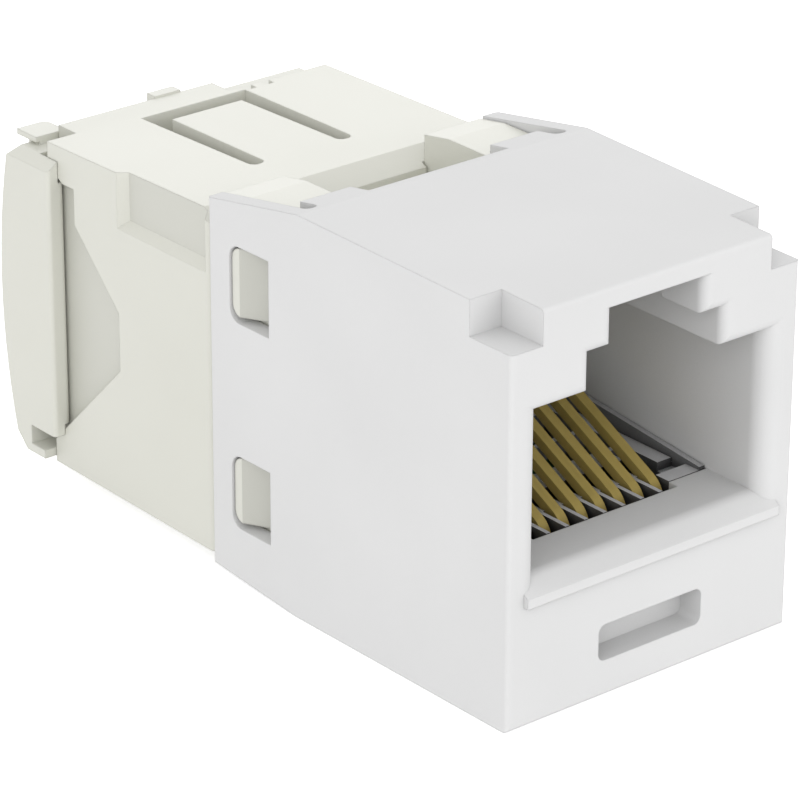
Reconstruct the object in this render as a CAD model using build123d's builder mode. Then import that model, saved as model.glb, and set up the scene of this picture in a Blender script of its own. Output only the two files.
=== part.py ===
"""Keystone jack: an eight-contact modular socket with a rear termination cap.

Depths are measured rearwards from the front face of the white housing, heights from its sole.
"""

from build123d import *
import math
import os

os.makedirs("parts", exist_ok=True)

# General clearances, in millimetres
fit = 0.10
running = 0.05
edge_radius = 0.2

# Plug port
contact_count = 8
contact_pitch = 1.016
port_width = 11.98
port_floor = 6.40
port_height = 7.26
key_width = 7.08
key_step = 1.67
latch_width = 4.82
latch_step = 1.72
latch_roof = 0.814
latch_wall = 2.5
port_depth = 12.6
port_lead_in = 0.9
key_lead_in = 0.45

# White front housing
side_wall = 0.625
housing_depth = 18.87
side_draft = 0.010
roof_slope = 0.020
bevel_start = 13.02
bevel_drop = 1.018
sole_length = 13.25
sole_rise = 0.479
sole_wall = 1.0
roof_wall = 0.464
front_wall = 2.78
shelf_depth = 3.3
shelf_margin = 0.364
well_step = 0.7
notch_width = 1.588
notch_height = 1.506
notch_depth = 2.46

# Roof edge: two tabs between a middle edge and two slots
roof_opening = 5.47
tab_inner = 3.75
tab_length = 1.18
roof_slot_width = 0.65
roof_slot_length = 5.57

# Snap windows in the side walls
window_length = 2.55
window_rear_wall = 1.42
window_radius = 0.6
window_front_radius = 0.25
upper_window_low = 12.1
upper_window_height = 3.4
lower_window_low = 2.70
lower_window_height = 3.33

# Front face details
recess_width = 5.56
recess_height = 1.61
recess_drop = 4.78
recess_depth = 1.2
recess_radius = 0.35
lip_width = 13.6
lip_drop = 1.05
lip_height = 0.44
lip_proud = 0.25
lip_ramp_angle = 35
lip_ramp_length = 0.65

# Ivory core
core_margin = 0.91
core_wall = 1.0
core_roof_wall = 0.75
rail_gap = 0.14
rail_slope_length = 1.57
rail_slope_drop = 0.26
wedge_angle = 28
wedge_land = 0.48
wedge_rear_gap = 0.07
wedge_top_gap = 0.1
wedge_low_gap = 0.25
wedge_sink = 0.09

# Contact sled
sled_height = 1.95
sled_rail_width = 0.82
ramp_width = 0.34
tooth_width = 0.2
comb_depth = 1.63
comb_gap = 0.06
flex_slot_width = 0.6
flex_slot_depth = 0.6
flex_slot_rear = 6.1
block_depth = 0.8
step_depth = 0.85
step_drop = 0.4
ramp_low = 0.15
ramp_rise = 0.0935
groove_width = 0.06
groove_depth = 0.2
tray_thickness = 0.7
window_row_front = 7.35
window_row_bar = 0.3
window_row_depth = 1.85
window_row_rear_depth = 2.2
side_hole_length = 2.9

# Spring wires
wire_size = 0.46
wire_angle = 26.2
wire_nose = 3.65
wire_nose_drop = 0.34
wire_bend = 1.0
wire_reach = 6.3
wire_root_gap = 0.02

# Circuit board
board_thickness = 1.2
board_width = 11.0
board_reach = 1.0
pin_hole = 0.8

# Termination contacts and their block
idc_row_low = 1.8
idc_row_gap = 5.8
idc_column_inner = 1.5
idc_column_outer = 4.2
idc_width = 1.5
idc_thickness = 0.4
idc_slot = 0.3
idc_slot_depth = 3.0
idc_mouth = 0.9
idc_reach = 3.8
idc_leg_width = 0.55
idc_leg_offset = 0.45
idc_leg_length = 1.1
idc_leg_gap = 1.1
idc_tail = 0.2
block_length = 3.7
block_width = 10.9
block_cover = 2.0

# Ivory termination cap
cap_step = 0.18
cap_length = 11.53
cap_roof_wall = 1.8
cap_sole = 0.75
cap_sole_rise = 0.12
cap_slope = 0.018
cap_wall = 1.334
cap_floor_wall = 1.4
crease_length = 0.93
crease_angle = 24
cap_lip = 0.32
cap_lip_thickness = 0.3
cap_edge_radius = 0.3
lacing_gap = 1.4
lacing_depth = 4.1
channel_width = 1.0
channel_depth = 2.2
pocket_gap = 0.15
passage_margin = 1.3
rear_wall = 1.2
cable_bore = 7.0

# Cap: pockets, tongue and rear tab
pocket_set = 0.33
pocket_length = 6.2
pocket_height = 2.45
pocket_sink = 0.43
pocket_taper = 40
tongue_length = 6.8
tongue_half = 1.89
slot_width_rear = 0.96
slot_width_front = 0.75
cross_gap = 0.97
bar_depth = 0.33
rear_tab_left = 6.1
rear_tab_right = 2.25
rear_tab_length = 1.3
rear_tab_thickness = 0.6
rear_notch_width = 0.45
rear_notch_depth = 0.4
rear_notch_inner = 3.2
rear_notch_outer = 4.2
field_sink = 0.43
field_lip = 0.39
field_lip_slope = 0.68
field_lip_drop = 0.36
field_upper_depth = 1.86
field_shoulder = 2.0
field_depth = 4.96
field_drop = 0.59
field_low = 1.95

# Strain relief clip
clip_gap = 0.06
clip_depth = 2.92
clip_low = 1.1
clip_drop = 0.7
bow_radius = 28.5
bow_height = 8.7
bow_low = 1.8
bow_drop = 0.46
bow_edge = 0.4
wing_thickness = 0.546
wing_reach = 0.75
wing_gap = 0.02
wing_low = 2.4
wing_bevel_width = 0.55
wing_bevel_drop = 0.4
wing_radius = 0.2
wing_inner_thickness = 0.36
wing_inner_low = 2.9
wing_inner_drop = 0.41
wing_inner_radius = 0.3
foot_length = 1.36
foot_notch_depth = 1.0
foot_notch_low = 1.5
foot_notch_width = 1.9
relief_width = 0.4
relief_depth = 0.45
relief_drop = 0.35
lug_inner = 5.7
lug_outer = 7.25
lug_set = 0.18
lug_thickness = 0.25
lug_rise = 0.38
lug_radius = 0.4
lug_overhang = 0.2
grip_left = -0.9
grip_right = 0.5
grip_set = 1.24
grip_length = 0.6
grip_rise = 0.78

# Derived places: widths
port_half = port_width / 2
core_half = port_half + core_margin
cavity_half = core_half + fit
housing_half = cavity_half + side_wall
well_half = cavity_half - well_step
comb_half = contact_pitch * contact_count / 2
shelf_from = comb_half - contact_pitch / 2 + shelf_margin
tab_outer = cavity_half - roof_slot_width
rail_inner = tab_inner + running
sled_half = port_half - running
sled_rail_outer = port_half - ramp_width
sled_rail_inner = sled_rail_outer - sled_rail_width
cap_half = housing_half + side_draft * housing_depth - cap_step
cap_cavity_half = cap_half - cap_wall
wing_face = cap_half + wing_gap
wing_inner = wing_face - wing_inner_thickness
clip_half = wing_face + wing_thickness
idc_columns = (-idc_column_outer, -idc_column_inner, idc_column_inner, idc_column_outer)

# Derived places: depths
roof_edge = housing_depth - roof_opening
tab_rear = roof_edge + tab_length
roof_slot_front = housing_depth - roof_slot_length
window_rear = housing_depth - window_rear_wall
window_front = window_rear - window_length
core_front = port_depth + fit
core_rear = housing_depth + running
rail_slope_start = core_rear - rail_slope_length
comb_start = front_wall + comb_gap
comb_end = comb_start + comb_depth
sled_block_front = shelf_depth + running
sled_block_rear = sled_block_front + block_depth
step_end = sled_block_rear + step_depth
leg_front = core_front + core_wall + idc_leg_gap
block_front = leg_front + idc_leg_length
block_rear = block_front + block_length
board_rear = block_front + board_reach
idc_tip = block_rear + idc_reach
cap_front = core_rear + running
cap_rear = cap_front + cap_length
crease_depth = cap_front + crease_length
lacing_front = block_rear + lacing_gap
lacing_rear = lacing_front + lacing_depth
pocket_front = cap_front + pocket_set
cross_gap_rear = cap_rear - bar_depth
tongue_rear = cross_gap_rear - cross_gap
tongue_root = tongue_rear - tongue_length
clip_front = cap_rear + clip_gap
clip_rear = clip_front + clip_depth
wing_front = cap_rear - wing_reach
lug_front = clip_front + rear_tab_length
lug_rear = clip_rear - lug_set
grip_front = clip_front + grip_set
front = -(clip_rear - lip_proud) / 2

# Derived places: heights
port_shoulder = port_floor + port_height
key_top = port_shoulder + key_step
latch_top = key_top + latch_step
housing_height = latch_top + latch_roof
roof_height = housing_height + roof_slope * bevel_start
cavity_top = housing_height - roof_wall
rail_top = cavity_top - rail_gap
recess_low = port_floor - recess_drop
lip_low = port_floor - lip_drop
sled_low = port_floor - sled_height
board_top = sled_low - running
board_low = board_top - board_thickness
lower_row = board_top + idc_row_low
upper_row = lower_row + idc_row_gap
row_middle = (lower_row + upper_row) / 2
block_top = upper_row + block_cover
pocket_top = block_top + fit
core_channel = pocket_top + core_roof_wall
cap_cavity_low = cap_sole + cap_floor_wall
cap_cavity_top = block_top + 2 * fit
cap_height = cap_cavity_top + cap_roof_wall
crease_height = cap_height + cap_slope * (cap_rear - crease_depth)
clip_top = cap_height - clip_drop
bow_high = clip_top - bow_drop
field_high = clip_top - field_drop
wing_inner_high = field_high - wing_inner_drop
lug_height = clip_top + lug_rise
grip_height = clip_top + grip_rise

# Working planes through the front face: local x is depth on the side plane, and across on the others
side_plane = Plane((0, front, 0), x_dir=(0, 1, 0), z_dir=(1, 0, 0))
top_plane = Plane((0, front, 0), x_dir=(1, 0, 0), z_dir=(0, 0, 1))
front_plane = Plane((0, front, 0), x_dir=(1, 0, 0), z_dir=(0, -1, 0))


def span(low, high, bottom, top):
    """A rectangle between four limits, in the sketch in hand."""
    with Locations(((low + high) / 2, (bottom + top) / 2)):
        return Rectangle(high - low, top - bottom)


def span_cut(low, high, bottom, top):
    """The same rectangle, taken away from the sketch in hand."""
    with Locations(((low + high) / 2, (bottom + top) / 2)):
        return Rectangle(high - low, top - bottom, mode=Mode.SUBTRACT)


# White front housing: outer form from a side view and a plan view with draft
with BuildPart() as front_housing:
    with BuildSketch(side_plane):
        with BuildLine():
            Polyline(
                (0, 0),
                (sole_length, 0),
                (housing_depth, sole_rise),
                (housing_depth, roof_height - bevel_drop),
                (bevel_start, roof_height),
                (0, housing_height),
                close=True,
            )
        make_face()
    extrude(amount=2 * housing_half, both=True)
    with BuildSketch(top_plane):
        rear_half = housing_half + side_draft * housing_depth
        with BuildLine():
            Polyline(
                (-housing_half, 0),
                (housing_half, 0),
                (rear_half, housing_depth),
                (-rear_half, housing_depth),
                close=True,
            )
        make_face()
    extrude(amount=2 * housing_height, mode=Mode.INTERSECT)
    rim = front_housing.edges().filter_by(Plane.XZ).group_by(Axis.Y)[0]
    long_edges = front_housing.edges().filter_by(GeomType.LINE).sort_by(Edge.length)[-4:]
    fillet(rim + long_edges, edge_radius)

    # Cavity for the core, and the well under the port for the board and sled
    with BuildSketch(front_plane.offset(-port_depth)):
        span(-cavity_half, cavity_half, sole_wall, cavity_top)
    extrude(amount=-housing_depth, mode=Mode.SUBTRACT)
    with BuildSketch(top_plane.offset(sole_wall)):
        span(-well_half, well_half, shelf_depth, port_depth)
        span(-shelf_from, shelf_from, front_wall, port_depth)
    extrude(amount=port_floor - sole_wall, mode=Mode.SUBTRACT)

    # Stepped port: the latch wall is narrow, and the plug's latch catches behind it
    with BuildSketch(front_plane):
        span(-port_half, port_half, port_floor, port_shoulder)
        span(-key_width / 2, key_width / 2, port_floor, key_top)
        span(-latch_width / 2, latch_width / 2, port_floor, latch_top)
    extrude(amount=-port_depth, mode=Mode.SUBTRACT)
    with BuildSketch(front_plane.offset(-latch_wall)):
        span(-key_width / 2, key_width / 2, port_floor, latch_top)
    extrude(amount=latch_wall - port_depth, mode=Mode.SUBTRACT)

    # Lead-in round the mouth
    mouth = front_housing.faces().sort_by(Axis.Y)[0].inner_wires().edges()
    wide_edges = mouth.filter_by(
        lambda e: abs(abs(e.center().X) - port_half) < 0.01 or abs(e.center().Z - port_floor) < 0.01
    )
    fillet(wide_edges, port_lead_in)
    key_edges = front_housing.edges().filter_by(
        lambda e: abs(e.center().Y - front) < 0.001
        and abs(e.center().X) < port_half - 0.01
        and port_shoulder - 0.01 < e.center().Z < latch_top - 0.01
    )
    fillet(key_edges, key_lead_in)

    # Faceplate notches in the top front corners
    with BuildSketch(front_plane):
        for side in (-1, 1):
            inner = side * (housing_half - notch_width)
            outer = side * (housing_half + 1)
            span(min(inner, outer), max(inner, outer), housing_height - notch_height, housing_height + 1)
    extrude(amount=-notch_depth, mode=Mode.SUBTRACT)

    # Blind slot below the port, and a lip whose ramp runs up into the lead-in
    with BuildSketch(front_plane):
        with Locations((0, recess_low + recess_height / 2)):
            RectangleRounded(recess_width, recess_height, recess_radius)
    extrude(amount=-recess_depth, mode=Mode.SUBTRACT)
    with BuildSketch(side_plane):
        lip_top = lip_low + lip_height
        ramp_end = lip_ramp_length - lip_proud
        with BuildLine():
            Polyline(
                (-lip_proud, lip_low),
                (-lip_proud, lip_top),
                (ramp_end, lip_top + lip_ramp_length * math.tan(math.radians(lip_ramp_angle))),
                (ramp_end, lip_low),
                close=True,
            )
        make_face()
    extrude(amount=lip_width / 2, both=True)

    # Roof edge with its tabs, then the four windows
    with BuildSketch(top_plane.offset(rail_top)):
        span(-tab_inner, tab_inner, roof_edge, housing_depth + 1)
        for side in (-1, 1):
            inner = side * tab_inner
            outer = side * tab_outer
            span(min(inner, outer), max(inner, outer), tab_rear, housing_depth + 1)
            near = side * tab_outer
            far = side * cavity_half
            slot_half = (cavity_half - tab_outer) / 2
            span(min(near, far), max(near, far), roof_slot_front + slot_half, housing_depth + 1)
            with Locations(((near + far) / 2, roof_slot_front + slot_half)):
                Circle(slot_half)
    extrude(amount=roof_height, mode=Mode.SUBTRACT)
    with BuildSketch(side_plane):
        for low, height in (
            (upper_window_low, upper_window_height),
            (lower_window_low, lower_window_height),
        ):
            window = span(window_front, window_rear, low, low + height)
            corners = window.vertices().group_by(Axis.X)
            fillet(corners[-1], window_radius)
            fillet(corners[0], window_front_radius)
    extrude(amount=2 * housing_half, both=True, mode=Mode.SUBTRACT)
front_housing.part.label = "front_housing"
export_step(front_housing.part, "parts/front_housing.step")

# Ivory core: a box open at the rear, with two rails on top and a slot for the board
with BuildPart() as base_housing:
    with BuildSketch(side_plane):
        with BuildLine():
            Polyline(
                (core_front, sole_wall + fit),
                (core_rear, sole_wall + fit),
                (core_rear, rail_top - rail_slope_drop),
                (rail_slope_start, rail_top),
                (core_front, rail_top),
                close=True,
            )
        make_face()
    extrude(amount=core_half, both=True)
    with BuildSketch(front_plane.offset(-core_front - core_wall)):
        span(-rail_inner, rail_inner, core_channel, rail_top + 1)
    extrude(amount=core_front + core_wall - core_rear, mode=Mode.SUBTRACT)
    with BuildSketch(front_plane.offset(-core_front - core_wall)):
        span(
            -block_width / 2 - fit,
            block_width / 2 + fit,
            board_low - core_wall,
            pocket_top,
        )
    extrude(amount=core_front + core_wall - core_rear, mode=Mode.SUBTRACT)
    with BuildSketch(front_plane.offset(-core_front)):
        span(-board_width / 2 - fit, board_width / 2 + fit, board_low - fit, board_top + fit)
    extrude(amount=core_front - board_rear - fit, mode=Mode.SUBTRACT)

    # Snap wedges, nearly flush in the windows and falling away towards the front
    wedge_rear = window_rear - wedge_rear_gap
    wedge_face = housing_half + side_draft * wedge_rear - wedge_sink
    wedge_length = (wedge_face - core_half) / math.tan(math.radians(wedge_angle))
    for low, height in (
        (upper_window_low, upper_window_height),
        (lower_window_low, lower_window_height),
    ):
        with BuildSketch(top_plane.offset(low + wedge_low_gap)):
            with BuildLine():
                Polyline(
                    (core_half - fit, wedge_rear),
                    (wedge_face, wedge_rear),
                    (wedge_face, wedge_rear - wedge_land),
                    (core_half, wedge_rear - wedge_land - wedge_length),
                    (core_half - fit, wedge_rear - wedge_land - wedge_length),
                    close=True,
                )
            make_face()
            mirror(about=Plane.YZ)
        extrude(amount=height - wedge_low_gap - wedge_top_gap)
    wedge_ends = base_housing.edges().filter_by(Axis.X).filter_by(
        lambda e: abs(e.center().X) > core_half and abs(e.center().Y - front - wedge_rear) < 0.01
    )
    fillet(wedge_ends, window_radius - wedge_rear_gap)
base_housing.part.label = "base_housing"
export_step(base_housing.part, "parts/base_housing.step")

# Gray sled: comb at the nose of the wires, two rails, and a tray with two rows of windows
with BuildPart() as contact_sled:
    row_front = window_row_front + window_row_depth + window_row_bar
    with BuildSketch(top_plane.offset(sled_low)):
        span(-shelf_from + running, shelf_from - running, comb_start, comb_end)
        span(-sled_rail_outer, sled_rail_outer, sled_block_front, port_depth)
        for index in range(contact_count):
            across = (index - (contact_count - 1) / 2) * contact_pitch
            gap_half = (contact_pitch - tooth_width) / 2
            span_cut(across - gap_half, across + gap_half, comb_start - 1, comb_end)
        for side in (-1, 1):
            inner = side * shelf_from
            outer = side * sled_rail_inner
            hole_rear = sled_block_rear + side_hole_length
            span_cut(min(inner, outer), max(inner, outer), sled_block_rear, hole_rear)
        span_cut(
            -sled_rail_inner,
            sled_rail_inner,
            window_row_front,
            window_row_front + window_row_depth,
        )
        span_cut(-sled_rail_inner, sled_rail_inner, row_front, row_front + window_row_rear_depth)
    extrude(amount=sled_height)
    with BuildSketch(front_plane.offset(-flex_slot_rear - fit)):
        span(-sled_rail_inner, sled_rail_inner, 0, port_floor - tray_thickness)
    extrude(amount=flex_slot_rear - port_depth, mode=Mode.SUBTRACT)

    # Slots that the wires sink into, and a low step in front of each rail
    with BuildSketch(top_plane.offset(port_floor)):
        for index in range(contact_count):
            across = (index - (contact_count - 1) / 2) * contact_pitch
            span(across - flex_slot_width / 2, across + flex_slot_width / 2, comb_end - fit, flex_slot_rear)
    extrude(amount=-flex_slot_depth, mode=Mode.SUBTRACT)
    with BuildSketch(top_plane.offset(port_floor)):
        for side in (-1, 1):
            inner = side * sled_rail_inner
            outer = side * sled_rail_outer
            span(min(inner, outer), max(inner, outer), sled_block_rear, step_end)
    extrude(amount=-step_drop, mode=Mode.SUBTRACT)

    # Ramps along the port walls, each with a groove where it meets its rail
    for side in (-1, 1):
        with BuildSketch(side_plane.offset(side * sled_rail_outer)):
            with BuildLine():
                Polyline(
                    (sled_block_front, sled_low),
                    (port_depth, sled_low),
                    (port_depth, port_floor + ramp_low + ramp_rise * (port_depth - sled_block_front)),
                    (sled_block_front, port_floor + ramp_low),
                    close=True,
                )
            make_face()
        extrude(amount=side * (sled_half - sled_rail_outer))
    with BuildSketch(top_plane.offset(port_floor)):
        for side in (-1, 1):
            inner = side * (sled_rail_outer - groove_width)
            outer = side * sled_rail_outer
            span(min(inner, outer), max(inner, outer), step_end, port_depth)
    extrude(amount=-groove_depth, mode=Mode.SUBTRACT)
contact_sled.part.label = "contact_sled"
export_step(contact_sled.part, "parts/contact_sled.step")

# Eight square spring wires, each swept along its bent line
for index in range(contact_count):
    across = (index - (contact_count - 1) / 2) * contact_pitch
    with BuildPart() as plug_contact:
        nose_height = port_floor - wire_nose_drop
        arm_end = (
            wire_nose + wire_reach,
            nose_height + wire_reach * math.tan(math.radians(wire_angle)),
        )
        with BuildLine(side_plane.offset(across)) as wire_line:
            FilletPolyline(
                (wire_nose, board_top + wire_root_gap),
                (wire_nose, nose_height),
                arm_end,
                radius=wire_bend,
            )
        with BuildSketch(top_plane.offset(board_top + wire_root_gap)):
            with Locations((across, wire_nose)):
                Rectangle(wire_size, wire_size)
        sweep(path=wire_line.line)
    plug_contact.part.label = f"plug_contact_{index + 1}"
    export_step(plug_contact.part, f"parts/plug_contact_{index + 1}.step")

# Circuit board with a hole for each termination leg
with BuildPart() as circuit_board:
    with BuildSketch(top_plane.offset(board_low)):
        span(-board_width / 2, board_width / 2, sled_block_front, board_rear)
        span(-shelf_from + running, shelf_from - running, comb_start, board_rear)
        leg_depth = leg_front + idc_thickness / 2
        for column in idc_columns:
            with Locations((column - idc_leg_offset, leg_depth), (column + idc_leg_offset, leg_depth)):
                Circle(pin_hole / 2, mode=Mode.SUBTRACT)
    extrude(amount=board_thickness)
circuit_board.part.label = "circuit_board"
export_step(circuit_board.part, "parts/circuit_board.step")

# Block that holds the termination contacts
with BuildPart() as idc_block:
    with BuildSketch(front_plane.offset(-block_front)):
        span(-block_width / 2, block_width / 2, board_top + running, block_top)
        for row in (lower_row, upper_row):
            for column in idc_columns:
                with Locations((column, row)):
                    Rectangle(idc_width + 2 * running, idc_thickness + 2 * running, mode=Mode.SUBTRACT)
    extrude(amount=block_front - block_rear)
    fillet(idc_block.edges().filter_by(Axis.Y).group_by(Axis.Z)[-1], edge_radius)
idc_block.part.label = "idc_block"
export_step(idc_block.part, "parts/idc_block.step")

# Eight forked termination contacts, four in each row
for index in range(contact_count):
    column = idc_columns[index % 4]
    upper = index >= 4
    row = upper_row if upper else lower_row
    leg_side = idc_leg_offset if upper else -idc_leg_offset
    with BuildPart() as idc_contact:
        with BuildSketch(top_plane.offset(row - idc_thickness / 2)):
            span(column - idc_width / 2, column + idc_width / 2, block_front, idc_tip)
            leg_low = column + leg_side - idc_leg_width / 2
            span(leg_low, leg_low + idc_leg_width, leg_front, block_front)
            span_cut(column - idc_slot / 2, column + idc_slot / 2, idc_tip - idc_slot_depth, idc_tip)
            with BuildLine():
                Polyline(
                    (column - idc_mouth / 2, idc_tip),
                    (column + idc_mouth / 2, idc_tip),
                    (column, idc_tip - idc_mouth),
                    close=True,
                )
            make_face(mode=Mode.SUBTRACT)
        extrude(amount=idc_thickness)
        with BuildSketch(top_plane.offset(row)):
            span(leg_low, leg_low + idc_leg_width, leg_front, leg_front + idc_thickness)
        extrude(amount=board_low - idc_tail - row)
    idc_contact.part.label = f"idc_contact_{index + 1}"
    export_step(idc_contact.part, f"parts/idc_contact_{index + 1}.step")

# Ivory termination cap: shell with a crease at the front of its roof
with BuildPart() as termination_cap:
    crease_fall = math.tan(math.radians(crease_angle))
    brow_height = crease_height - crease_length * crease_fall
    brow_low = brow_height - cap_lip * crease_fall
    with BuildSketch(side_plane):
        with BuildLine():
            Polyline(
                (cap_front, cap_sole),
                (cap_rear, cap_sole + cap_sole_rise),
                (cap_rear, cap_height),
                (crease_depth, crease_height),
                (cap_front, brow_height),
                close=True,
            )
        make_face()
    extrude(amount=cap_half, both=True)
    cap_front_edges = termination_cap.faces().sort_by(Axis.Y)[0].edges().filter_by(Axis.Z)
    fillet(cap_front_edges, cap_edge_radius)
    with BuildSketch(side_plane):
        with BuildLine():
            Polyline(
                (cap_front - cap_lip, brow_low),
                (crease_depth, crease_height),
                (crease_depth, brow_low - cap_lip_thickness),
                (cap_front - cap_lip, brow_low - cap_lip_thickness),
                close=True,
            )
        make_face()
    extrude(amount=rail_inner - fit, both=True)

    # Front hollow over the block, lacing comb, then the cable chamber and its entry
    with BuildSketch(front_plane.offset(-cap_front)):
        span(-cap_cavity_half, cap_cavity_half, cap_cavity_low, cap_cavity_top)
    extrude(amount=cap_front - lacing_front, mode=Mode.SUBTRACT)
    with BuildSketch(front_plane.offset(-lacing_rear)):
        span(-cap_cavity_half, cap_cavity_half, cap_cavity_low, cap_cavity_top)
    extrude(amount=lacing_rear - cap_rear + rear_wall, mode=Mode.SUBTRACT)
    with BuildSketch(front_plane.offset(-lacing_front)):
        for column in idc_columns:
            span(
                column - channel_width / 2,
                column + channel_width / 2,
                lower_row - idc_width,
                upper_row + idc_width,
            )
    extrude(amount=-channel_depth, mode=Mode.SUBTRACT)
    with BuildSketch(front_plane.offset(-lacing_front)):
        for row in (lower_row, upper_row):
            for column in idc_columns:
                with Locations((column, row)):
                    Rectangle(idc_width + 2 * pocket_gap, idc_thickness + 2 * pocket_gap)
    extrude(amount=lacing_front - idc_tip - 2 * pocket_gap, mode=Mode.SUBTRACT)
    with BuildSketch(front_plane.offset(-lacing_front)):
        span(
            idc_columns[0] - idc_width / 2,
            idc_columns[-1] + idc_width / 2,
            lower_row + passage_margin,
            upper_row - passage_margin,
        )
    extrude(amount=lacing_front - lacing_rear, mode=Mode.SUBTRACT)
    with BuildSketch(front_plane.offset(-cap_rear)):
        with Locations((0, row_middle)):
            Circle(cable_bore / 2)
    extrude(amount=rear_wall, mode=Mode.SUBTRACT)

    # Chamfered pocket in the top of the left side
    with BuildSketch(side_plane.offset(-cap_half)):
        span(pocket_front, pocket_front + pocket_length, cap_height - pocket_height, crease_height + 1)
    extrude(amount=pocket_sink, taper=pocket_taper, mode=Mode.SUBTRACT)

    # Rear tab, then the slots round the tongue
    with BuildSketch(top_plane.offset(cap_height)):
        span(-rear_tab_left, rear_tab_right, cross_gap_rear, cap_rear + rear_tab_length)
    extrude(amount=-rear_tab_thickness)
    with BuildSketch(top_plane.offset(cap_cavity_top)):
        for side in (-1, 1):
            start = tongue_half + (slot_width_rear - slot_width_front) / 2
            with BuildLine():
                Polyline(
                    (side * tongue_half, cross_gap_rear),
                    (side * (tongue_half + slot_width_rear), cross_gap_rear),
                    (side * (start + slot_width_front), tongue_root),
                    (side * start, tongue_root),
                    close=True,
                )
            slot = make_face()
            fillet(slot.vertices().group_by(Axis.Y)[0], 0.45 * slot_width_front)
        gap_half = tongue_half + slot_width_rear / 2
        span(-gap_half, gap_half, tongue_rear, cross_gap_rear)
    extrude(amount=crease_height, mode=Mode.SUBTRACT)
    with BuildSketch(top_plane.offset(cap_cavity_top)):
        with Locations((rear_notch_inner, cap_rear), (rear_notch_outer, cap_rear)):
            Rectangle(rear_notch_width, 2 * rear_notch_depth)
    extrude(amount=crease_height, mode=Mode.SUBTRACT)

    # Sunk field in each side wall, under the wings of the clip
    lip_end = cap_rear - field_lip
    slope_end = lip_end - field_lip_slope
    shoulder = cap_rear - field_upper_depth
    deep_end = cap_rear - field_depth
    for side in (-1, 1):
        with BuildSketch(side_plane.offset(side * cap_half)):
            with BuildLine():
                Polyline(
                    (lip_end, field_high),
                    (slope_end, field_high - field_lip_drop),
                    (shoulder, field_high - field_lip_drop),
                    (shoulder, field_high - field_shoulder),
                    (deep_end, field_high - field_shoulder - field_depth + field_upper_depth),
                    (deep_end, field_low + field_depth),
                    (cap_rear, field_low),
                    (cap_rear + 1, field_low),
                    (cap_rear + 1, field_high),
                    close=True,
                )
            make_face()
        extrude(amount=-side * field_sink, mode=Mode.SUBTRACT)
termination_cap.part.label = "termination_cap"
export_step(termination_cap.part, "parts/termination_cap.step")

# Strain relief clip: bowed plate behind the cap, with a wing along each side
with BuildPart() as strain_relief_clip:
    low_bow = clip_rear - bow_radius + math.sqrt(bow_radius**2 - (bow_low - bow_height) ** 2)
    high_bow = clip_rear - bow_radius + math.sqrt(bow_radius**2 - (bow_high - bow_height) ** 2)
    with BuildSketch(side_plane):
        with BuildLine():
            Polyline(
                (low_bow, bow_low),
                (clip_front + foot_length, clip_low),
                (clip_front, clip_low),
                (clip_front, clip_top),
            )
            Line((clip_front, clip_top), (high_bow - bow_edge, clip_top))
            Line((high_bow - bow_edge, clip_top), (high_bow, bow_high))
            ThreePointArc((high_bow, bow_high), (clip_rear, bow_height), (low_bow, bow_low))
        make_face()
    extrude(amount=clip_half, both=True)
    with BuildSketch(front_plane.offset(-clip_front)):
        with Locations((0, row_middle)):
            Circle(cable_bore / 2)
    extrude(amount=clip_front - clip_rear, mode=Mode.SUBTRACT)

    # Wings beside the cap, thicker where they reach into its sunk fields
    for side in (-1, 1):
        with BuildSketch(side_plane.offset(side * wing_face)):
            span(wing_front, clip_front, wing_low, clip_top)
        extrude(amount=side * (clip_half - wing_face))
        with BuildSketch(side_plane.offset(side * wing_inner)):
            span(wing_front, clip_front, wing_inner_low, wing_inner_high)
        extrude(amount=side * (wing_face - wing_inner))
    wing_tips = strain_relief_clip.edges().filter_by(Axis.Z).group_by(Axis.Y)[0]
    inner_corners = wing_tips.filter_by(lambda e: abs(e.center().X) < wing_face - 0.01)
    fillet(inner_corners, wing_inner_radius)
    with BuildSketch(front_plane.offset(-wing_front)):
        with BuildLine():
            Polyline(
                (clip_half - wing_bevel_width, clip_top),
                (clip_half, clip_top - wing_bevel_drop),
                (clip_half + 1, clip_top - wing_bevel_drop),
                (clip_half + 1, clip_top + 1),
                (clip_half - wing_bevel_width, clip_top + 1),
                close=True,
            )
        make_face()
        mirror(about=Plane.YZ)
    extrude(amount=wing_front - clip_rear, mode=Mode.SUBTRACT)
    wing_tips = strain_relief_clip.edges().filter_by(Axis.Z).group_by(Axis.Y)[0]
    outer_corners = wing_tips.filter_by(lambda e: abs(e.center().X) > clip_half - 0.01)
    fillet(outer_corners, wing_radius)

    # Notch at the foot of each wing, and a small relief beside the cap's top corners
    for side in (-1, 1):
        with BuildSketch(side_plane.offset(side * (clip_half - foot_notch_width))):
            span(clip_front - 1, clip_front + foot_notch_depth, foot_notch_low, wing_low)
        extrude(amount=side * clip_half, mode=Mode.SUBTRACT)
        with BuildSketch(front_plane.offset(-clip_front)):
            relief_edge = side * wing_face
            relief_inner = side * (wing_face - relief_width)
            low_side = min(relief_edge, relief_inner)
            span(low_side, low_side + relief_width, clip_top - relief_drop, clip_top + 1)
        extrude(amount=-relief_depth, mode=Mode.SUBTRACT)

    # Lug on its wall, and the grip
    with BuildSketch(top_plane.offset(bow_high - 1)):
        span(lug_overhang - lug_outer, -lug_inner, lug_front, lug_rear - 3 * lug_overhang)
    extrude(amount=lug_height - lug_thickness / 2 - bow_high + 1)
    with BuildSketch(top_plane.offset(lug_height - lug_thickness)):
        lug = span(-lug_outer, -lug_inner, lug_front, lug_rear)
        fillet(lug.vertices().group_by(Axis.Y)[-1].sort_by(Axis.X)[-1], lug_radius)
    extrude(amount=lug_thickness)
    with BuildSketch(top_plane.offset(clip_top - 0.5)):
        span(grip_left, grip_right, grip_front, grip_front + grip_length)
    extrude(amount=grip_height - clip_top + 0.5)
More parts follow.
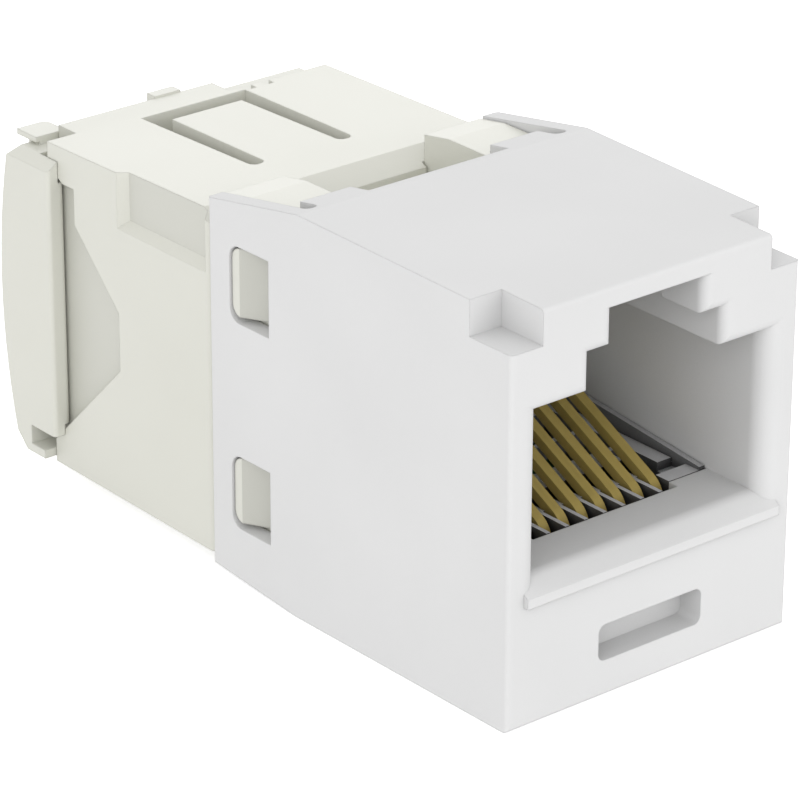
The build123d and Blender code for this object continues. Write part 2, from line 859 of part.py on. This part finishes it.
strain_relief_clip.part.label = "strain_relief_clip"
export_step(strain_relief_clip.part, "parts/strain_relief_clip.step")
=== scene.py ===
from math import radians

import bpy
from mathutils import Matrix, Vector


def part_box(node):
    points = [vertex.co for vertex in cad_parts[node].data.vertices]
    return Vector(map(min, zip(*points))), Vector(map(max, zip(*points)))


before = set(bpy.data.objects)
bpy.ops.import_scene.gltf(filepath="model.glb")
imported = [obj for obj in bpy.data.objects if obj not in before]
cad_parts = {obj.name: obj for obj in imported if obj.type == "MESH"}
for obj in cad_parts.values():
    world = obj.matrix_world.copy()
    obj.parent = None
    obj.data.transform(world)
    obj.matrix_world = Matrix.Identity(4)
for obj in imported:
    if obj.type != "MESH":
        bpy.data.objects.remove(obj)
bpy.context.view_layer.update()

MM = 0.001

# Even light from all round
AMBIENT = 0.86

# The floor: its glow for the camera, which makes it white, half its side, and its gap below the sole
FLOOR_GLOW = 0.6
FLOOR_HALF = 1.5
FLOOR_GAP = 0.02 * MM

# Soft lamps: name, place in metres, side in metres, power in watts, and whether only gloss shows it
LAMPS = [
    ("key", (-0.55, -0.45, 0.34), 0.5, 1.33, False),
    ("fill", (0.15, -0.7, 0.08), 0.6, 0.95, False),
    ("sheen", (0.46, 0.56, 0.33), 0.6, 1.4, True),
]
LAMP_TARGET = (0, 0, 9 * MM)

# The photograph's camera, fitted to the straight edges of the object: its turns in degrees, and its
# place, with the depth counted from the front face of the housing, which lies behind the port's lip
LIP_REACH = 0.25 * MM
CAMERA_TURNS = (65.606, -0.196, -39.48)
CAMERA_PLACE = (-109.198 * MM, -116.254 * MM, 84.518 * MM)
FOCAL_LENGTH = 199.53
SENSOR_WIDTH = 36

# Rays that each shaded hollow and each softened edge sends out
NODE_SAMPLES = 4

# Noise: features per metre and levels of detail
MOULD_DRIFT = (120, 2.0)
MOULD_GRAIN = (9000, 3.0)
SLED_DRIFT = (300, 2.0)
SLED_GRAIN = (12000, 3.0)
WIRE_STREAKS = (2500, 3.0)
BOARD_TRACKS = (700, 1.0)

# The streaks of a wire change less along its depth and height than across
STREAK_STRETCH = (1, 0.12, 0.12)

# The part of a noise's range over which a colour goes from its low tone to its high one
DRIFT_START = 0.3
DRIFT_END = 0.7

# Step of a shade that keeps the faces which look sideways, by how far across their normal reaches
SIDEWAYS = ("Normal", 0.8, 0.7)


def new_material(name, colour, roughness, specular):
    """A plain shader with its colour and gloss on the shader's own sockets."""
    material = bpy.data.materials.new(name)
    material.use_nodes = True
    shader = material.node_tree.nodes["Principled BSDF"]
    shader.inputs["Base Color"].default_value = (*colour, 1)
    shader.inputs["Roughness"].default_value = roughness
    shader.inputs["Specular IOR Level"].default_value = specular
    return material, shader


def add_noise(material, scale, detail, stretch=(1, 1, 1)):
    """Noise in object coordinates."""
    tree = material.node_tree
    where = tree.nodes.new("ShaderNodeTexCoord")
    mapping = tree.nodes.new("ShaderNodeMapping")
    mapping.inputs["Scale"].default_value = stretch
    noise = tree.nodes.new("ShaderNodeTexNoise")
    noise.inputs["Scale"].default_value = scale
    noise.inputs["Detail"].default_value = detail
    tree.links.new(where.outputs["Object"], mapping.inputs["Vector"])
    tree.links.new(mapping.outputs["Vector"], noise.inputs["Vector"])
    return noise.outputs["Fac"]


def add_bump(material, shader, source, strength, distance, edge=0):
    """Fine relief from a noise, over edges that are softened by a small radius if one is given."""
    tree = material.node_tree
    bump = tree.nodes.new("ShaderNodeBump")
    if edge:
        soft = tree.nodes.new("ShaderNodeBevel")
        soft.samples = NODE_SAMPLES
        soft.inputs["Radius"].default_value = edge
        tree.links.new(soft.outputs["Normal"], bump.inputs["Normal"])
    bump.inputs["Strength"].default_value = strength
    bump.inputs["Distance"].default_value = distance
    tree.links.new(source, bump.inputs["Height"])
    tree.links.new(bump.outputs["Normal"], shader.inputs["Normal"])


def add_ramp(material, source, low, high, start, end):
    """Colour that goes from one tone to another as the source goes from start to end."""
    tree = material.node_tree
    ramp = tree.nodes.new("ShaderNodeValToRGB")
    ramp.color_ramp.elements[0].position = start
    ramp.color_ramp.elements[0].color = (*low, 1)
    ramp.color_ramp.elements[1].position = end
    ramp.color_ramp.elements[1].color = (*high, 1)
    tree.links.new(source, ramp.inputs["Fac"])
    return ramp.outputs["Color"]


def add_drift(material, noise, low, high):
    """Colour that wanders between two tones with a noise."""
    return add_ramp(material, noise, low, high, DRIFT_START, DRIFT_END)


def add_factor(material, source, tone, start, end):
    """Factor for a colour: the given tone where the source is at its start, 1 at its end."""
    return add_ramp(material, source, (tone, tone, tone), (1, 1, 1), start, end)


def add_hollow(material, tone, reach, start, end, alone=False):
    """Factor of painted shade for hollows, which get little light. Alone leaves out what other pieces
    cover.
    """
    tree = material.node_tree
    cover = tree.nodes.new("ShaderNodeAmbientOcclusion")
    cover.samples = NODE_SAMPLES
    cover.only_local = alone
    cover.inputs["Distance"].default_value = reach
    return add_factor(material, cover.outputs["AO"], tone, start, end)


def add_facing(material, tone, start, end):
    """Factor of painted shade by how far a face looks up: the given tone on walls, 1 on level faces."""
    tree = material.node_tree
    where = tree.nodes.new("ShaderNodeTexCoord")
    split = tree.nodes.new("ShaderNodeSeparateXYZ")
    tree.links.new(where.outputs["Normal"], split.inputs["Vector"])
    return add_factor(material, split.outputs["Z"], tone, start, end)


def add_step(material, coordinate, kept, left_out):
    """0 where a coordinate reaches as far across as the kept value says, 1 at the left-out value."""
    tree = material.node_tree
    where = tree.nodes.new("ShaderNodeTexCoord")
    split = tree.nodes.new("ShaderNodeSeparateXYZ")
    across = tree.nodes.new("ShaderNodeMath")
    across.operation = "ABSOLUTE"
    step = tree.nodes.new("ShaderNodeMapRange")
    step.inputs["From Min"].default_value = kept
    step.inputs["From Max"].default_value = left_out
    tree.links.new(where.outputs[coordinate], split.inputs["Vector"])
    tree.links.new(split.outputs["X"], across.inputs[0])
    tree.links.new(across.outputs["Value"], step.inputs["Value"])
    return step.outputs["Result"]


def add_shade(material, tone, first, *others):
    """Factor of painted shade: the given tone on the faces that every step keeps, 1 on those that one
    leaves out.
    """
    tree = material.node_tree
    left_out = add_step(material, *first)
    for step in others:
        either = tree.nodes.new("ShaderNodeMath")
        either.operation = "MAXIMUM"
        tree.links.new(left_out, either.inputs[0])
        tree.links.new(add_step(material, *step), either.inputs[1])
        left_out = either.outputs["Value"]
    return add_factor(material, left_out, tone, 0, 1)


def product(material, first, second):
    """Product of two colours or factors."""
    tree = material.node_tree
    times = tree.nodes.new("ShaderNodeVectorMath")
    times.operation = "MULTIPLY"
    tree.links.new(first, times.inputs[0])
    tree.links.new(second, times.inputs[1])
    return times.outputs["Vector"]


def paint(material, shader, colour):
    """Gives a colour to the shader."""
    material.node_tree.links.new(colour, shader.inputs["Base Color"])


def moulded_plastic(name, low, high, roughness, specular, hollow, shade=None):
    """Moulded plastic: a slow drift of tone, painted shade in hollows and on the faces a given shade
    keeps, and a fine spark-eroded grain.
    """
    material, shader = new_material(name, high, roughness, specular)
    colour = add_drift(material, add_noise(material, *MOULD_DRIFT), low, high)
    colour = product(material, colour, add_hollow(material, **hollow))
    if shade:
        colour = product(material, colour, add_shade(material, *shade))
    paint(material, shader, colour)
    grain = add_noise(material, *MOULD_GRAIN)
    add_bump(material, shader, grain, strength=0.12, distance=0.02 * MM, edge=0.09 * MM)
    return material


def sled_plastic():
    """Gray filled plastic of the contact sled, with painted shade that darkens its walls and slots and
    leaves its level faces light.
    """
    material, shader = new_material("gray_plastic", (0.5, 0.5, 0.5), roughness=0.45, specular=0.4)
    drift = add_drift(material, add_noise(material, *SLED_DRIFT), (0.51, 0.51, 0.52), (0.57, 0.57, 0.58))
    # Painted shade on walls, and darker painted shade in narrow slots and hollows
    facing = add_facing(material, tone=0.32, start=0.2, end=0.7)
    hollow_shade = add_hollow(material, tone=0.02, reach=1.6 * MM, start=0.15, end=0.75)
    paint(material, shader, product(material, product(material, drift, facing), hollow_shade))
    add_bump(material, shader, add_noise(material, *SLED_GRAIN), strength=0.10, distance=0.01 * MM)
    return material


def plated_wire(name, low, high, metallic, roughness):
    """Plated metal: faint streaks along the wire and painted shade in its hollows."""
    material, shader = new_material(name, high, roughness, specular=0.4)
    shader.inputs["Metallic"].default_value = metallic
    streaks = add_noise(material, *WIRE_STREAKS, STREAK_STRETCH)
    colour = add_drift(material, streaks, low, high)
    hollow_shade = add_hollow(material, tone=0.8, reach=0.9 * MM, start=0.1, end=0.7)
    paint(material, shader, product(material, colour, hollow_shade))
    add_bump(material, shader, streaks, strength=0.15, distance=0.01 * MM)
    return material


def board_mask():
    """Solder mask over copper tracks."""
    material, shader = new_material("solder_mask", (0.02, 0.10, 0.04), roughness=0.35, specular=0.5)
    tracks = add_noise(material, *BOARD_TRACKS)
    paint(material, shader, add_drift(material, tracks, (0.012, 0.07, 0.03), (0.03, 0.15, 0.06)))
    return material


def dress(finishes):
    """Gives each CAD node the finish of its kind, the node's name without its number."""
    for node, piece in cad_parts.items():
        finish = finishes[node.rstrip("0123456789_")]
        if not piece.material_slots:
            piece.data.materials.append(finish)
        for slot in piece.material_slots:
            slot.material = finish


def seen_by_camera(tree):
    """1 for rays from the camera, off gloss and through glass."""
    path = tree.nodes.new("ShaderNodeLightPath")
    first = tree.nodes.new("ShaderNodeMath")
    first.operation = "MAXIMUM"
    second = tree.nodes.new("ShaderNodeMath")
    second.operation = "MAXIMUM"
    tree.links.new(path.outputs["Is Camera Ray"], first.inputs[0])
    tree.links.new(path.outputs["Is Glossy Ray"], first.inputs[1])
    tree.links.new(first.outputs["Value"], second.inputs[0])
    tree.links.new(path.outputs["Is Transmission Ray"], second.inputs[1])
    return second.outputs["Value"]


def backdrop():
    """Even light from all round, and white for the camera."""
    world = bpy.data.worlds.new("studio")
    bpy.context.scene.world = world
    world.use_nodes = True
    tree = world.node_tree
    tree.nodes.clear()
    output = tree.nodes.new("ShaderNodeOutputWorld")
    mix = tree.nodes.new("ShaderNodeMixShader")
    light = tree.nodes.new("ShaderNodeBackground")
    light.inputs["Strength"].default_value = AMBIENT
    white = tree.nodes.new("ShaderNodeBackground")
    for node in (light, white):
        node.inputs["Color"].default_value = (1, 1, 1, 1)
    tree.links.new(seen_by_camera(tree), mix.inputs["Fac"])
    tree.links.new(light.outputs["Background"], mix.inputs[1])
    tree.links.new(white.outputs["Background"], mix.inputs[2])
    tree.links.new(mix.outputs["Shader"], output.inputs["Surface"])


def area_light(name, place, side, power, gloss_only):
    """A square soft lamp that faces the object."""
    lamp = bpy.data.lights.new(name, "AREA")
    lamp.shape = "SQUARE"
    lamp.size = side
    lamp.energy = power
    piece = bpy.data.objects.new(name, lamp)
    bpy.context.scene.collection.objects.link(piece)
    piece.visible_diffuse = not gloss_only
    piece.location = place
    piece.rotation_euler = (Vector(LAMP_TARGET) - Vector(place)).to_track_quat("-Z", "Y").to_euler()


def floor_plane():
    """A pale floor that keeps the shadow and reads as white paper to the camera."""
    mesh = bpy.data.meshes.new("floor")
    corners = [(-FLOOR_HALF, -FLOOR_HALF, 0), (FLOOR_HALF, -FLOOR_HALF, 0),
               (FLOOR_HALF, FLOOR_HALF, 0), (-FLOOR_HALF, FLOOR_HALF, 0)]
    mesh.from_pydata(corners, [], [(0, 1, 2, 3)])
    floor = bpy.data.objects.new("floor", mesh)
    bpy.context.scene.collection.objects.link(floor)
    floor.location = (0, 0, -FLOOR_GAP)
    material, shader = new_material("floor_paper", (0.9, 0.9, 0.9), roughness=0.9, specular=0.0)
    tree = material.node_tree
    output = tree.nodes["Material Output"]
    glow = tree.nodes.new("ShaderNodeEmission")
    glow.inputs["Color"].default_value = (1, 1, 1, 1)
    glow.inputs["Strength"].default_value = FLOOR_GLOW
    both = tree.nodes.new("ShaderNodeAddShader")
    mix = tree.nodes.new("ShaderNodeMixShader")
    tree.links.new(shader.outputs["BSDF"], both.inputs[0])
    tree.links.new(glow.outputs["Emission"], both.inputs[1])
    tree.links.new(seen_by_camera(tree), mix.inputs["Fac"])
    tree.links.new(shader.outputs["BSDF"], mix.inputs[1])
    tree.links.new(both.outputs["Shader"], mix.inputs[2])
    tree.links.new(mix.outputs["Shader"], output.inputs["Surface"])
    mesh.materials.append(material)


def photo_camera():
    """The camera at the photograph's viewing angle."""
    camera = bpy.data.cameras.new("camera")
    camera.sensor_width = SENSOR_WIDTH
    camera.lens = FOCAL_LENGTH
    camera.clip_start = 0.01
    camera.clip_end = 10
    piece = bpy.data.objects.new("camera", camera)
    bpy.context.scene.collection.objects.link(piece)
    front_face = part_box("front_housing")[0][1] + LIP_REACH
    piece.location = Vector(CAMERA_PLACE) + Vector((0, front_face, 0))
    piece.rotation_euler = [radians(turn) for turn in CAMERA_TURNS]
    bpy.context.scene.camera = piece


white = moulded_plastic(
    "white_plastic", low=(0.735, 0.735, 0.735), high=(0.76, 0.76, 0.76), roughness=0.7, specular=0.3,
    hollow={"tone": 0.76, "reach": 20 * MM, "start": 0.0, "end": 0.95, "alone": True})
ivory_look = {
    "low": (0.69, 0.69, 0.625), "high": (0.715, 0.715, 0.65), "roughness": 0.40, "specular": 0.6,
    "hollow": {"tone": 0.97, "reach": 5 * MM, "start": 0.1, "end": 0.9}}

# Painted shade makes the sunk fields of the cap's sides a little darker: they lie 0.3 to 2.4 mm inside
# its widest faces
cap_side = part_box("termination_cap")[1][0]
sunk_field_shade = (
    0.87,
    ("Object", cap_side - 0.3 * MM, cap_side - 0.15 * MM),
    ("Object", cap_side - 2.4 * MM, cap_side - 2.5 * MM),
    SIDEWAYS)

# Painted shade also darkens the sloped faces of the core's snap wedges, whose normals lean a little out
# of straight across
wedge_slope_shade = (0.77, ("Normal", 0.985, 0.995), SIDEWAYS)

ivory = moulded_plastic("ivory_plastic", **ivory_look)
dress({
    "front_housing": white,
    "base_housing": moulded_plastic("ivory_core_plastic", **ivory_look, shade=wedge_slope_shade),
    "idc_block": ivory,
    "termination_cap": moulded_plastic("ivory_cap_plastic", **ivory_look, shade=sunk_field_shade),
    "strain_relief_clip": ivory,
    "contact_sled": sled_plastic(),
    "circuit_board": board_mask(),
    "plug_contact": plated_wire(
        "gold_plate", low=(0.40, 0.305, 0.085), high=(0.455, 0.345, 0.10), metallic=0.2, roughness=0.6),
    "idc_contact": plated_wire(
        "tin_plate", low=(0.60, 0.60, 0.58), high=(0.70, 0.70, 0.68), metallic=0.9, roughness=0.30),
})

backdrop()
floor_plane()
for lamp in LAMPS:
    area_light(*lamp)
photo_camera()
bpy.context.scene.view_settings.view_transform = "Standard"
